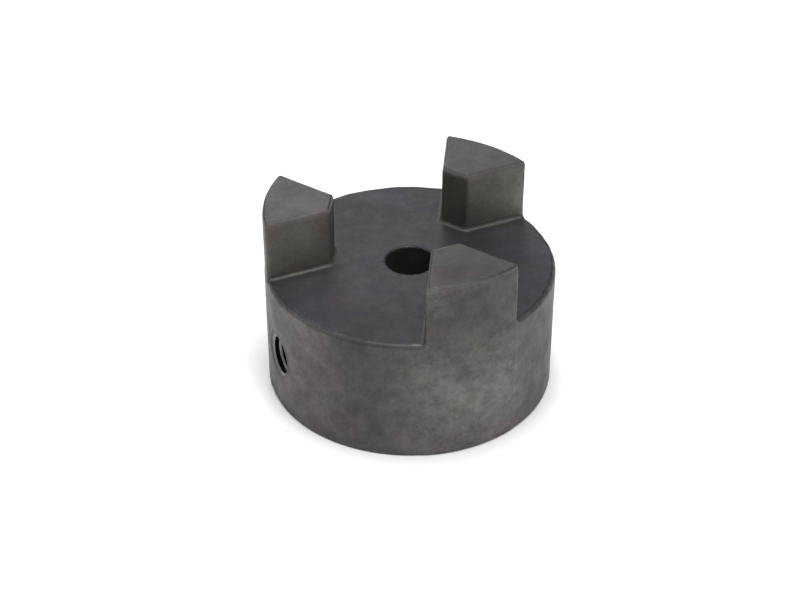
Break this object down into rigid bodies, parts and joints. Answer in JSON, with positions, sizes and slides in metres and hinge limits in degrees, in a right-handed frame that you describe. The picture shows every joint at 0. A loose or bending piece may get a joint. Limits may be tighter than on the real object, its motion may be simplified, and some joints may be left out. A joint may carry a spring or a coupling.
{
  "type": "jaw coupling hub",
  "caption": "Jaw coupling hub: thick disc with a plain central bore, tapered jaws standing on one face, and a socket set screw in a tapped side hole that clamps it to a shaft.",
  "frame": {"origin": "centre of the flat back face, on the bore's axis", "axes": "+Z along the bore from the back face towards the jaw tips; -X out of the tapped hole along the set screw; one jaw points to -Y, the other two to +30 and +150 degrees from +X"},
  "size_m": [0.0536, 0.0536, 0.0362],
  "materials": {
    "hub_iron": "matt dark grey sintered iron, faintly mottled, with brown tints on the jaws",
    "screw_steel": "black oxide alloy steel"
  },
  "bodies": {
    "hub": {"hub": "hub_iron"},
    "set_screw": {"set_screw": "screw_steel"}
  },
  "joints": [
    {"name": "set_screw_travel", "type": "slide", "parent": "hub", "child": "set_screw", "axis": [-1, 0, 0], "range_m": [-0.00141, 0.01834]}
  ]
}
